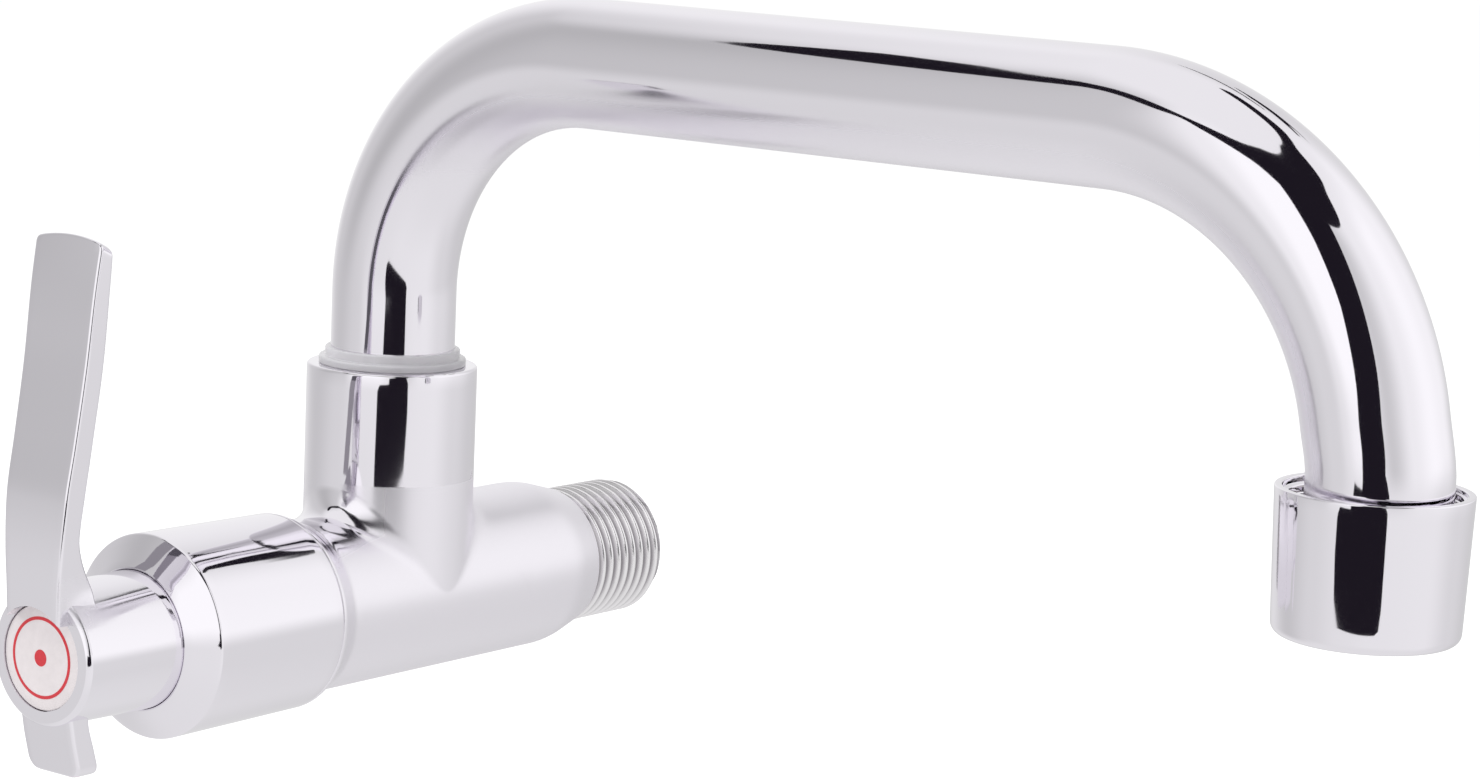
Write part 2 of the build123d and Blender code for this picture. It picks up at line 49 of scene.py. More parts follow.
# Sizes are in millimetres about the point where the barrel's axis meets the tower's axis, as in
# the part's source, and become metres in the row frame when a mesh is made.
MM = 0.001
INLET_REACH = 38.3  # from the inlet thread's start to the tower's axis

# The tap body and the cap. Places along the barrel run from the handle, below 0, to the inlet.
BARREL_R = 12.6
TOWER_R = 12.5
TOWER_TOP = 34.0
TOWER_FOOT_R = 4.4  # radius of the blend between the tower and the barrel
TOWER_FLOOR = 7.8  # where the waterway up to the spout starts
TOWER_PORT_R = 6.5
TOWER_STEP = 13.5  # where it widens into the spout's bore
TOWER_BORE_R = 8.55
SHOULDER_START = -19.1
SHOULDER_END = -23.2
COLLAR_R = 14.2
CAP_REAR = -23.8
CAP_R = 14.45
CAP_SHOULDER = -48.2
CAP_FRONT = -51.2
CAP_HOLE_R = 9.8
CAP_BORE_R = 12.45
CAP_WALL = 1.5  # of its conical front
SEAT = -12.0  # where the cartridge presses on the body
SEAT_PORT_R = 4.5
CHAMBER_R = 9.8  # of the chamber round the cartridge
CHAMBER_END = -24.5
NECK_BORE_R = 10.5
NECK_R = 12.4  # of the body's neck inside the cap
NECK_END = -35.5

# The hub and the index button
HUB_REAR = -48.6
HUB_FRONT = -68.1
HUB_REAR_R = 9.8
HUB_BELLY_R = 9.5
HUB_BELLY = -67.3  # from here the hub's side rounds in to its front edge
HUB_ROUNDING = 0.95
BUTTON_R = 7.25
BUTTON_RECESS_R = 7.32
BUTTON_BACK = -67.2
BUTTON_DOME = 0.3  # height of the button's middle over its edge

# The inlet
TAPER_START = 30.2
THREAD_START = 36.7
THREAD_END = 52.7
THREAD_R = 10.4775
THREAD_CORE_R = 9.0  # of the body inside the thread's sleeve
INLET_BORE_R = 7.5
INLET_BORE_END = 16.1

# The spout
TUBE_R = 9.1
TUBE_FOOT = 36.4
TUBE_END = 30.8
SPOUT_HEIGHT = 80.8
SPOUT_REACH = 162.5
INNER_BEND_R = 36.0
OUTER_BEND_R = 40.9
CUP_TOP = 39.0
CUP_BOTTOM = 20.5

POLISH_LINE = 17.6  # height on the tower down to which the polishing wheel reaches
BEND_POLISH = 58.0  # and height on the spout's riser up to which it does


def linear(hex_colour):
    """An sRGB colour such as E2E4E8 as linear red, green, blue and alpha."""
    channels = [int(hex_colour[i:i + 2], 16) / 255 for i in (0, 2, 4)]
    return (*[c / 12.92 if c <= 0.04045 else ((c + 0.055) / 1.055) ** 2.4 for c in channels], 1.0)


def add_node(tree, kind, settings=None, links=None):
    """Adds a shader node. A setting is one of its sockets or else one of its properties. A link
    comes from a socket of another node, or from its first one if only the node is given."""
    node = tree.nodes.new("ShaderNode" + kind)
    for key, value in (settings or {}).items():
        if isinstance(key, int) or key in node.inputs:
            node.inputs[key].default_value = value
        else:
            setattr(node, key, value)
    for socket, source in (links or {}).items():
        source = source.outputs[0] if isinstance(source, bpy.types.Node) else source
        tree.links.new(source, node.inputs[socket])
    return node


def new_material(name):
    material = bpy.data.materials.new(name)
    material.use_nodes = True
    material.cycles.emission_sampling = "NONE"  # what glows is seen, but isn't a lamp
    material.node_tree.nodes.clear()
    return material, material.node_tree


# Meshes

def to_row(point):
    """A point in millimetres about the tower's axis, as metres in the row frame."""
    x, y, z = point
    return (x * MM, (y - INLET_REACH) * MM, z * MM)


def add_object(name, data):
    obj = bpy.data.objects.new(name, data)
    bpy.context.scene.collection.objects.link(obj)
    return obj


def mesh_object(name, points, faces, material, sharp_angle=35):
    mesh = bpy.data.meshes.new(name)
    mesh.from_pydata([to_row(p) for p in points], [], faces)
    mesh.validate()
    obj = add_object(name, mesh)
    clean_up(obj, sharp_angle)
    mesh.materials.append(material)
    return obj


def clean_up(obj, sharp_angle):
    """Joins doubled points, turns the faces outwards and marks the sharp edges."""
    bm = bmesh.new()
    bm.from_mesh(obj.data)
    bmesh.ops.remove_doubles(bm, verts=bm.verts, dist=1e-7)
    bmesh.ops.recalc_face_normals(bm, faces=bm.faces)
    bm.to_mesh(obj.data)
    bm.free()
    obj.data.shade_smooth()
    obj.data.set_sharp_from_angle(angle=radians(sharp_angle))


def spread(start, end, count):
    """The start, the end and the values that divide what lies between into equal steps."""
    return [start + (end - start) * k / count for k in range(count + 1)]


def rounded(corners, steps=6):
    """A closed outline of (a, b, radius) corners, with an arc at each corner that has a radius."""
    outline = []
    for i, (a, b, radius) in enumerate(corners):
        here = Vector((a, b))
        if radius <= 0:
            outline.append((a, b))
            continue
        before = (Vector(corners[i - 1][:2]) - here).normalized()
        after = (Vector(corners[(i + 1) % len(corners)][:2]) - here).normalized()
        half = before.angle(after) / 2
        centre = here + (before + after).normalized() * radius / sin(half)
        start = here + before * radius / tan(half) - centre
        end = here + after * radius / tan(half) - centre
        turn = start.angle_signed(end)
        for k in range(steps + 1):
            angle = -turn * k / steps
            arm = Vector((start.x * cos(angle) - start.y * sin(angle),
                          start.x * sin(angle) + start.y * cos(angle)))
            outline.append(tuple(centre + arm))
    return outline


def split_long(outline, longest):
    """The closed outline with its long runs divided."""
    result = []
    for (a0, b0), (a1, b1) in zip(outline, outline[1:] + outline[:1]):
        count = max(1, ceil(sqrt((a1 - a0) ** 2 + (b1 - b0) ** 2) / longest))
        result += list(zip(spread(a0, a1, count), spread(b0, b1, count)))[:-1]
    return result


def bands(points, columns, close_rows=True):
    """Quads between neighbouring rings of points that are numbered row by row."""
    rows = len(points) // columns
    faces = []
    for i in range(rows if close_rows else rows - 1):
        for j in range(columns):
            a, b = i * columns, (i + 1) % rows * columns
            k = (j + 1) % columns
            faces.append((a + j, a + k, b + k, b + j))
    return faces


def circle(r, count):
    """Points round a circle, as two offsets from its centre."""
    return [(r * sin(a), r * cos(a)) for a in spread(0, 2 * pi, count)[:-1]]


def turned(name, corners, material, axis="y", segments=160, longest=4.0, steps=6):
    """A ring turned from a closed outline of (radius, along, corner radius)."""
    points = []
    for r, along in split_long(rounded(corners, steps), longest):
        if axis == "y":
            points += [(x, along, z) for x, z in circle(r, segments)]
        else:
            points += [(x, y, along) for x, y in circle(r, segments)]
    return mesh_object(name, points, bands(points, segments), material)


def combine(obj, tool, operation):
    """Joins the tool to the object or cuts it away, and drops the tool."""
    modifier = obj.modifiers.new("combine", "BOOLEAN")
    modifier.operation = operation
    modifier.solver = "EXACT"
    modifier.object = tool
    graph = bpy.context.evaluated_depsgraph_get()
    made = bpy.data.meshes.new_from_object(obj.evaluated_get(graph))
    obj.modifiers.clear()
    obj.data = made
    bpy.data.objects.remove(tool)


def eased(t):
    """0 below 0, 1 above 1 and a soft step between."""
    t = min(max(t, 0.0), 1.0)
    return t * t * (3 - 2 * t)


def set_satin(obj, share):
    """Stores how satin each point of a mesh is, from 0, polished, to 1."""
    layer = obj.data.attributes.new("satin", "FLOAT", "POINT")
    for vertex, value in zip(obj.data.vertices, layer.data):
        value.value = share(vertex.co / MM)


def curve_value(table, at):
    """Smooth value between the (place, value) rows of a table, in order of place."""
    places = [p for p, _ in table]
    i = max(k for k in range(len(table) - 1) if places[k] <= at or k == 0)
    slopes = []
    for k in (i, i + 1):
        low, high = max(k - 1, 0), min(k + 1, len(table) - 1)
        slopes.append((table[high][1] - table[low][1]) / (places[high] - places[low]))
    span = places[i + 1] - places[i]
    t = min(max((at - places[i]) / span, 0.0), 1.0)
    return ((2 * t ** 3 - 3 * t ** 2 + 1) * table[i][1]
            + (t ** 3 - 2 * t ** 2 + t) * span * slopes[0]
            + (3 * t ** 2 - 2 * t ** 3) * table[i + 1][1]
            + (t ** 3 - t ** 2) * span * slopes[1])


# Settings that a user would change

class TapFinishSettings(bpy.types.PropertyGroup):
    chrome_colour: bpy.props.FloatVectorProperty(
        name="Chrome", description="Colour of the chrome plating", subtype="COLOR", size=4,
        min=0.0, max=1.0, default=linear("F1EEF4"))
    ripple_size: bpy.props.FloatProperty(
        name="Polishing ripples", description="Width of the faint ripples that polishing leaves",
        default=0.007, min=0.001, unit="LENGTH")
    thread_colour: bpy.props.FloatVectorProperty(
        name="Thread", description="Colour of the machined thread", subtype="COLOR", size=4,
        min=0.0, max=1.0, default=linear("F1EFF1"))
    # The grooves' colour is painted shade: the deeper in the thread, the darker.
    painted_groove_shade: bpy.props.FloatVectorProperty(
        name="Thread grooves", description="Colour of the metal in the thread's grooves",
        subtype="COLOR", size=4, min=0.0, max=1.0, default=linear("A8A5A9"))
    index_colour: bpy.props.FloatVectorProperty(
        name="Index button", description="Colour of the pearl button", subtype="COLOR", size=4,
        min=0.0, max=1.0, default=linear("ECE4E6"))
    mark_colour: bpy.props.FloatVectorProperty(
        name="Index mark", description="Colour of the printed ring and dot", subtype="COLOR",
        size=4, min=0.0, max=1.0, default=linear("D8303C"))


class TapShapeSettings(bpy.types.PropertyGroup):
    thread_pitch: bpy.props.FloatProperty(
        name="Thread pitch", description="Distance from one ridge of the inlet thread to the next",
        default=0.001814, min=0.0005, unit="LENGTH")
    thread_depth: bpy.props.FloatProperty(
        name="Thread depth", description="Height of the inlet thread's ridges",
        default=0.001162, min=0.0001, unit="LENGTH")
    lever_edge: bpy.props.FloatProperty(
        name="Lever edge", description="Radius along the lever's long edges",
        default=0.00045, min=0.0001, unit="LENGTH")


class TapStageSettings(bpy.types.PropertyGroup):
    floor_depth: bpy.props.FloatProperty(
        name="Floor depth", description="How far the floor lies below the inlet's axis",
        default=0.12, min=0.02, unit="LENGTH")
    floor_colour: bpy.props.FloatVectorProperty(
        name="Floor", description="Colour of the floor", subtype="COLOR", size=4,
        min=0.0, max=1.0, default=linear("F4F4F4"))
    lens: bpy.props.FloatProperty(
        name="Lens", description="Focal length of the camera", default=0.0951052, unit="LENGTH")


# Materials

def chrome(name, roughness):
    """Bright chrome plated over polished brass or zinc: a mirror with faint polishing ripples."""
    settings = bpy.context.scene.tap_finish
    material, tree = new_material(name)
    place = add_node(tree, "TexCoord").outputs["Object"]
    ripples = add_node(tree, "TexNoise", {
        "Scale": 1 / settings.ripple_size, "Detail": 2.0, "Roughness": 0.45}, {"Vector": place})
    # Ripples a few micrometres high bend the edges of what the plating mirrors.
    bump = add_node(tree, "Bump", {"Strength": 1.0, "Distance": 0.0000045}, {"Height": ripples})
    haze = add_node(tree, "TexNoise", {"Scale": 1 / 0.018, "Detail": 4.0}, {"Vector": place})
    polish = add_node(tree, "MapRange", {
        "From Min": 0.3, "From Max": 0.7, "To Min": roughness * 0.8, "To Max": roughness * 1.3},
        {"Value": haze})
    # Where the polishing wheel doesn't reach, the metal stays satin under the plating.
    unpolished = add_node(tree, "Attribute", {"attribute_name": "satin"}).outputs["Fac"]
    satin = add_node(tree, "MapRange", {"To Min": 0.0, "To Max": 0.28}, {"Value": unpolished})
    finish = add_node(tree, "Math", {"operation": "ADD"}, {0: polish, 1: satin})
    shader = add_node(tree, "BsdfPrincipled", {
        "Base Color": settings.chrome_colour, "Metallic": 1.0},
        {"Roughness": finish, "Normal": bump})
    add_node(tree, "OutputMaterial", links={"Surface": shader})
    return material


def turned_metal(name, colour, roughness, axis="Y"):
    """Metal as it comes off the lathe: fine grooves round its axis and a soft, satin shine."""
    material, tree = new_material(name)
    place = add_node(tree, "TexCoord").outputs["Object"]
    stretch = [1.0 if letter == axis else 0.05 for letter in "XYZ"]
    along = add_node(tree, "Mapping", {"Scale": stretch}, {"Vector": place})
    # The real grooves are about 0.1 mm apart, drawn wider so that they show.
    grooves = add_node(tree, "TexNoise", {"Scale": 1 / 0.00025, "Detail": 3.0}, {"Vector": along})
    bump = add_node(tree, "Bump", {"Strength": 0.5, "Distance": 0.00001}, {"Height": grooves})
    stains = add_node(tree, "TexNoise", {"Scale": 1 / 0.004, "Detail": 3.0}, {"Vector": place})
    shine = add_node(tree, "MapRange", {
        "From Min": 0.3, "From Max": 0.7, "To Min": roughness * 0.75, "To Max": roughness * 1.25},
        {"Value": stains})
    shader = add_node(tree, "BsdfPrincipled", {"Base Color": colour, "Metallic": 1.0},
                      {"Roughness": shine, "Normal": bump})
    add_node(tree, "OutputMaterial", links={"Surface": shader})
    return material


def moulded(name, colour, roughness, ior=1.5, coat=0.0, mottle=0.04, grain=0.0012):
    """Moulded plastic, rubber or pressed ceramic, with a little mottling and a fine grain."""
    material, tree = new_material(name)
    place = add_node(tree, "TexCoord").outputs["Object"]
    speck = add_node(tree, "TexNoise", {"Scale": 1 / grain, "Detail": 4.0}, {"Vector": place})
    shade = add_node(tree, "MapRange", {
        "From Min": 0.25, "From Max": 0.75, "To Min": 1 - mottle, "To Max": 1 + mottle},
        {"Value": speck})
    tint = add_node(tree, "VectorMath", {"operation": "SCALE", 0: colour[:3]}, {"Scale": shade})
    bump = add_node(tree, "Bump", {"Strength": 0.3, "Distance": 0.00001}, {"Height": speck})
    shader = add_node(tree, "BsdfPrincipled", {
        "Roughness": roughness, "IOR": ior, "Coat Weight": coat, "Coat Roughness": 0.08},
        {"Base Color": tint, "Normal": bump})
    add_node(tree, "OutputMaterial", links={"Surface": shader})
    return material


def thread_metal(colour, painted_groove_shade):
    """Machined thread: bright crests over grooves darkened towards their roots with painted shade.
    """
    material, tree = new_material("machined thread with painted groove shade")
    place = add_node(tree, "TexCoord").outputs["Object"]
    across = add_node(tree, "VectorMath", {"operation": "MULTIPLY", 1: (1.0, 0.0, 1.0)},
                      {0: place})
    radius = add_node(tree, "VectorMath", {"operation": "LENGTH"}, {0: across}).outputs["Value"]
    # Painted shade: the colour darkens from the crest to the groove's root, by radius alone.
    groove_shade_mask = add_node(tree, "MapRange", {
        "From Min": (THREAD_R - 1.0) * MM, "From Max": (THREAD_R - 0.15) * MM}, {"Value": radius})
    tint = add_node(tree, "Mix", {"data_type": "RGBA", 6: painted_groove_shade, 7: colour}, {0: groove_shade_mask})
    # Tool chatter about a millimetre wide along the flanks.
    chatter = add_node(tree, "TexNoise", {"Scale": 1 / 0.0012, "Detail": 2.0}, {"Vector": place})
    bump = add_node(tree, "Bump", {"Strength": 0.5, "Distance": 0.00001}, {"Height": chatter})
    shine = add_node(tree, "MapRange", {"To Min": 0.12, "To Max": 0.26}, {"Value": chatter})
    shader = add_node(tree, "BsdfPrincipled", {"Metallic": 1.0}, {
        "Base Color": tint.outputs[2], "Roughness": shine, "Normal": bump})
    add_node(tree, "OutputMaterial", links={"Surface": shader})
    return material


def clear_plastic():
    """Injection moulded clear polycarbonate: glassy, and a little cloudy in its thickness."""
    material, tree = new_material("moulded clear plastic")
    place = add_node(tree, "TexCoord").outputs["Object"]
    cloud = add_node(tree, "TexNoise", {"Scale": 1 / 0.003, "Detail": 2.0}, {"Vector": place})
    haze = add_node(tree, "MapRange", {"To Min": 0.04, "To Max": 0.12}, {"Value": cloud})
    shader = add_node(tree, "BsdfPrincipled", {
        "Base Color": linear("F9F7FC"), "IOR": 1.49, "Transmission Weight": 0.4},
        {"Roughness": haze})
    add_node(tree, "OutputMaterial", links={"Surface": shader})
    return material


# The pieces

def body_surface():
    """Points and faces of the tap body: barrel, tower, the blend between them and the bores."""
    points, faces = [], []

    def ring(new_points):
        start = len(points)
        points.extend(new_points)
        return list(range(start, len(points)))

    def join(a, b, closed=True):
        count = len(a)
        for j in range(count if closed else count - 1):
            k = (j + 1) % count
            faces.append((a[j], a[k], b[k], b[j]))

    def run_on(last, rows):
        """Adds rings, each joined to the one before, and gives the last of them."""
        for row in rows:
            here = ring(row)
            join(last, here)
            last = here
        return last

    side = 64  # columns along each side of the saddle
    reach = TOWER_R + TOWER_FOOT_R  # of the rolling ball's centre from the tower's axis
    lift = BARREL_R + TOWER_FOOT_R  # and from the barrel's axis
    wrap = radians(100)  # half of the barrel that the saddle wraps
    edge = -SHOULDER_START  # half the saddle's length along the barrel
    angles = spread(0, 2 * pi, 4 * side)[:-1]
    centres = [(reach * sin(a), reach * cos(a), sqrt(lift ** 2 - (reach * sin(a)) ** 2))
               for a in angles]

    def round_tower(r, z):
        return [(r * sin(a), r * cos(a), z) for a in angles]

    def on_barrel(turn, y):
        return (BARREL_R * sin(turn), y, BARREL_R * cos(turn))

    # The tower's bore, its rim and its outside down to the blend. Two rings close together
    # carry the edge of the polish.
    above, low = POLISH_LINE + 0.12, POLISH_LINE - 0.12
    profile = rounded([
        (TOWER_PORT_R, TOWER_FLOOR, 0), (TOWER_PORT_R, TOWER_STEP, 0),
        (TOWER_BORE_R, TOWER_STEP, 0), (TOWER_BORE_R, TOWER_TOP, 0.3), (TOWER_R, TOWER_TOP, 0.45),
        (TOWER_R, 12.0, 0), (0.0, TOWER_FLOOR, 0)])[:-2]
    last = ring(round_tower(*profile[0]))
    faces.append(tuple(last))
    last = run_on(last, [round_tower(r, z) for r, z in profile[1:]])
    heights = spread(profile[-1][1], above, 8)[1:] + [low]
    last = run_on(last, [round_tower(TOWER_R, z) for z in heights])
    rows = 16
    last = run_on(last, [
        [(TOWER_R * sin(a), TOWER_R * cos(a), low + (c[2] - low) * i / rows)
         for a, c in zip(angles, centres)] for i in range(1, rows + 1)])
    # The blend: an arc of the rolling ball from the tower to the barrel.
    rows = 12
    for i in range(1, rows + 1):
        row = []
        for a, c in zip(angles, centres):
            centre = Vector(c)
            from_tower = Vector((TOWER_R * sin(a), TOWER_R * cos(a), c[2])) - centre
            from_barrel = Vector((c[0] * BARREL_R / lift, c[1], c[2] * BARREL_R / lift)) - centre
            arm = from_tower.slerp(from_barrel, i / rows).normalized() * TOWER_FOOT_R
            row.append(tuple(centre + arm))
        last = run_on(last, [row])
    # The saddle: the barrel's skin round the blend, out to a square of the unrolled skin.
    foot = [(atan2(c[0], c[2]), c[1]) for c in centres]
    square = []
    for j in range(4 * side):
        t = ((j + side / 2) % side) / side * 2 - 1
        which = int((j + side / 2) // side) % 4
        sides = [(wrap * t, edge), (wrap, -edge * t), (-wrap * t, -edge), (-wrap, edge * t)]
        square.append(sides[which])
    rows = 8
    last = run_on(last, [
        [on_barrel(turn0 + (turn1 - turn0) * i / rows, y0 + (y1 - y0) * i / rows)
         for (turn0, y0), (turn1, y1) in zip(foot, square)] for i in range(1, rows + 1)])
    # The underside of the barrel between the saddle's two long edges.
    half = side // 2
    right = [last[(half + j) % (4 * side)] for j in range(side + 1)]
    left = [last[(-half - j) % (4 * side)] for j in range(side + 1)]
    under = 72
    columns = [right]
    for i in range(1, under):
        turn = wrap + (2 * pi - 2 * wrap) * i / under
        columns.append(ring([on_barrel(turn, points[k][1]) for k in right]))
    columns.append(left)
    for a, b in zip(columns, columns[1:]):
        join(a, b, closed=False)
    # Full rings on both sides of the saddle, with the same angles all round.
    rear = [last[(-half + j) % (4 * side)] for j in range(side)] + [c[0] for c in columns[:-1]]
    front = [last[(-half - side - j) % (4 * side)] for j in range(side)]
    front += [c[-1] for c in columns[:-1]]
    turns = [atan2(points[k][0], points[k][2]) for k in rear]
    outline = rounded([
        (BARREL_R, edge, 0), (BARREL_R, TAPER_START, 14.0), (10.85, THREAD_START, 0.4),
        (THREAD_CORE_R, THREAD_START, 0), (THREAD_CORE_R, THREAD_END - 2.0, 0),
        (INLET_BORE_R, THREAD_END - 2.0, 0), (INLET_BORE_R, INLET_BORE_END, 0),
        (SEAT_PORT_R, INLET_BORE_END, 0), (SEAT_PORT_R, SEAT, 0), (CHAMBER_R, SEAT, 0),
        (CHAMBER_R, CHAMBER_END, 0), (NECK_BORE_R, CHAMBER_END, 0), (NECK_BORE_R, NECK_END, 0),
        (NECK_R, NECK_END, 0), (NECK_R, CAP_REAR, 0), (COLLAR_R, CAP_REAR, 0.2),
        (COLLAR_R, SHOULDER_END, 1.2), (BARREL_R, SHOULDER_START - 0.7, 3.0)])
    last = run_on(rear, [[(r * sin(t), y, r * cos(t)) for t in turns] for r, y in outline[1:]])
    join(last, front)
    return points, faces


def body_satin(co):
    """The tee is polished on the tower and along the top of its front, and satin elsewhere."""
    front = -15 - 17 * eased((11 - co.z) / 4)
    return eased((co.y + INLET_REACH - front) / 8) * (1.0 if co.z < POLISH_LINE else 0.0)


def lever_satin(co):
    """The lever is polished but for its root, where it flares into the hub."""
    height = eased((co.z - 4) / 2) * eased((13 - co.z) / 2)
    return height * eased(abs(co.x) - 4.5) * eased(-63.2 - co.y - INLET_REACH)


def thread_sleeve(material):
    """The inlet's male pipe thread: one helical ridge round a bored sleeve."""
    shape = bpy.context.scene.tap_shape
    pitch, depth = shape.thread_pitch / MM, shape.thread_depth / MM
    columns, step = 144, 0.11
    sunk, chamfer, run_out_length = 0.6, 0.6, 1.6
    start, end = THREAD_START - sunk, THREAD_END
    points = []
    for y in spread(start, end, ceil((end - start) / step)):
        # The thread runs out against the body and is chamfered at its open end.
        run_out = min(max((y - THREAD_START + 0.4) / run_out_length, 0.0), 1.0)
        limit = THREAD_R - chamfer + (THREAD_END - y)
        for j in range(columns):
            phase = (y / pitch - j / columns) % 1
            ridge = eased((abs(2 * phase - 1) - 0.1) / 0.8)
            r = min(THREAD_R - depth * (1 - ridge) * run_out, limit)
            angle = 2 * pi * j / columns
            points.append((r * sin(angle), y, r * cos(angle)))
    for y in (end, start):
        points += [(x, y, z) for x, z in circle(INLET_BORE_R, columns)]
    return mesh_object("inlet_thread_ridges", points, bands(points, columns), material, 60)


LEVER_TOP = 56.7  # before the top edge is bowed up
TAIL_END = -16.6
ROOT_R = 6.0  # radius of the flare from the lever's sides into the hub
ROOT_TOP = 10.54
HUB_TOUCH = 6.45  # height at which the flare meets the hub
# The lever's half width, front and back, each as (height, value)
LEVER_HALF_WIDTH = [(0, 5.0), (10, 5.2), (14, 5.5), (22, 5.95), (40, 6.2), (56.7, 6.45)]
LEVER_FRONT = [(-16.6, -65.2), (-11.4, -66.5), (-8.3, -67.1), (0, -69.3), (11, -69.95),
               (22, -69.45), (30, -68.1), (40, -66.5), (50, -65.3), (57.5, -64.1)]
LEVER_BACK = [(-16.6, -61.4), (-12.8, -62.5), (-8.7, -63.6), (0, -63.4), (8, -63.45),
              (9.5, -63.6), (12, -64.9), (14, -65.8), (16.5, -66.4), (20, -66.2), (30, -64.7),
              (40, -63.2), (50, -62.4), (57.5, -62.0)]


def shaped(x, y, z):
    """A point of the plain bar, moved for the crowned top edge and the flare into the hub."""
    front, back = curve_value(LEVER_FRONT, z), curve_value(LEVER_BACK, z)
    depth = min(max((y - front) / (back - front), 0.0), 1.0)
    crown, fall = 0.8, 1.1
    lift = eased((z - 48) / 8) * (crown * (1 - (x / LEVER_HALF_WIDTH[-1][1]) ** 2) - fall * depth)
    flare = 0.0
    if -4 < z < ROOT_TOP:
        rise = ROOT_TOP - max(z, HUB_TOUCH)
        flare = ((ROOT_R - sqrt(ROOT_R ** 2 - rise ** 2)) * eased((z + 4) / 4)
                 * eased((y + 68.6) / 5))
    return x * (1 + flare / curve_value(LEVER_HALF_WIDTH, z)), y, z + lift


def lever_bar(material):
    """The bowed bar of the lever and its tail: rounded sections from the tail's end to the top."""
    edge = bpy.context.scene.tap_shape.lever_edge / MM
    top_corner, tail_corner, end_round = 1.0, 2.0, 0.5
    corner_steps, flat_steps, end_steps = 5, 12, 6
    quarter = spread(0, pi / 2, end_steps)
    heights = [TAIL_END + end_round * (1 - cos(a)) for a in quarter]
    heights += [TAIL_END + end_round + k * 0.2 for k in range(1, 9)]
    low, high = heights[-1], LEVER_TOP - top_corner
    heights += spread(low, high, ceil((high - low) / 0.5))[1:]
    heights += [high + k * 0.1 for k in range(1, 5)]
    heights += [LEVER_TOP - end_round * (1 - sin(a)) for a in quarter]

    def turned_in(radius, away):
        """How far an edge of this radius has turned inwards this far from the bar's end."""
        depth = max(0.0, radius - away)
        return radius - sqrt(max(radius ** 2 - depth ** 2, 0.0))

    points = []
    for z in heights:
        half_width = curve_value(LEVER_HALF_WIDTH, z)
        front, back = curve_value(LEVER_FRONT, z), curve_value(LEVER_BACK, z)
        for corner, away in ((top_corner, LEVER_TOP - z), (tail_corner, z - TAIL_END)):
            half_width -= turned_in(corner, away)
            inset = turned_in(end_round, away)
            front, back = front + inset, back - inset
        right, near, far = half_width - edge, front + edge, back - edge
        centres = [(right, far), (-right, far), (-right, near), (right, near)]
        for n, (x, y) in enumerate(centres):
            arc = [radians(a) for a in spread(90 * n, 90 * n + 90, corner_steps)]
            points += [(x + edge * cos(a), y + edge * sin(a), z) for a in arc]
            x0, y0, _ = points[-1]
            x, y = centres[(n + 1) % 4]
            flat = zip(spread(x0, x + edge * cos(arc[-1]), flat_steps),
                       spread(y0, y + edge * sin(arc[-1]), flat_steps))
            points += [(*point, z) for point in flat][1:-1]
    columns = len(points) // len(heights)
    points = [shaped(*p) for p in points]
    faces = bands(points, columns, close_rows=False)
    faces.append(tuple(reversed(range(columns))))
    faces.append(tuple(range(len(points) - columns, len(points))))
    return mesh_object("lever_bar", points, faces, material)


def lever(material):
    """Lever and hub in one casting, with the button's recess and the screw's counterbore."""
    side = [(HUB_BELLY_R - HUB_ROUNDING * (HUB_BELLY - y) ** 2, y, 0)
            for y in spread(HUB_BELLY, HUB_FRONT, 8)]
    hub = turned("lever_handle_skin", [(0.0, HUB_REAR, 0), (HUB_REAR_R, HUB_REAR, 0.3), *side,
                                       (0.0, HUB_FRONT, 0)], material, steps=8)
    combine(hub, lever_bar(material), "UNION")
    for name, r, start, end in (("recess", BUTTON_RECESS_R, -72.0, BUTTON_BACK),
                                ("counterbore", 7.6, HUB_REAR + 1, HUB_REAR - 3.2)):
        tool = turned(name, [(0.0, start, 0), (r, start, 0), (r, end, 0), (0.0, end, 0)],
                      material)
        combine(hub, tool, "DIFFERENCE")
    clean_up(hub, 32)
    set_satin(hub, lever_satin)
    hub.modifiers.new("even shading", "WEIGHTED_NORMAL").keep_sharp = True
    return hub


def dome_y(r):
    """Front of the index button at this radius."""
    return HUB_FRONT + BUTTON_DOME * (r / BUTTON_R) ** 2


def index_button(material):
    peg_r, peg_end = 3.9, -66.4
    face = [(r, dome_y(r), 0) for r in (0.0, 1.5, 3.0, 4.5, 6.0, 6.9)]
    return turned("index_button_skin", face + [
        (BUTTON_R, -67.85, 0.12), (BUTTON_R, BUTTON_BACK, 0), (peg_r, BUTTON_BACK, 0),
        (peg_r, peg_end, 0), (0.0, peg_end, 0)], material, segments=128, longest=1.0)


def index_mark(name, r_in, r_out, material):
    """One printed mark, a hair thicker than the button's face."""
    outer = [(r, dome_y(r) - 0.03, 0) for r in spread(r_in, r_out, 3)]
    inner = [(r, y + 0.05, 0) for r, y, _ in reversed(outer)]
    return turned(name, outer + inner, material, segments=96, longest=1.0)


def spout_stations():
    """Points along the tube's centre line with the direction there, from tower to outlet."""
    arm_end, leg_top = SPOUT_REACH - OUTER_BEND_R, SPOUT_HEIGHT - OUTER_BEND_R
    riser = spread(TUBE_FOOT, SPOUT_HEIGHT - INNER_BEND_R, 5)[:-1]
    stations = [((0, z), (0, 1)) for z in riser]
    stations += [((INNER_BEND_R * (1 - cos(a)), SPOUT_HEIGHT - INNER_BEND_R * (1 - sin(a))),
                  (sin(a), cos(a))) for a in spread(0, pi / 2, 48)]
    stations += [((x, SPOUT_HEIGHT), (1, 0)) for x in spread(INNER_BEND_R, arm_end, 30)[1:-1]]
    stations += [((arm_end + OUTER_BEND_R * sin(a), SPOUT_HEIGHT - OUTER_BEND_R * (1 - cos(a))),
                  (cos(a), -sin(a))) for a in spread(0, pi / 2, 52)]
    return stations + [((SPOUT_REACH, z), (0, -1)) for z in spread(leg_top, TUBE_END, 12)[1:]]


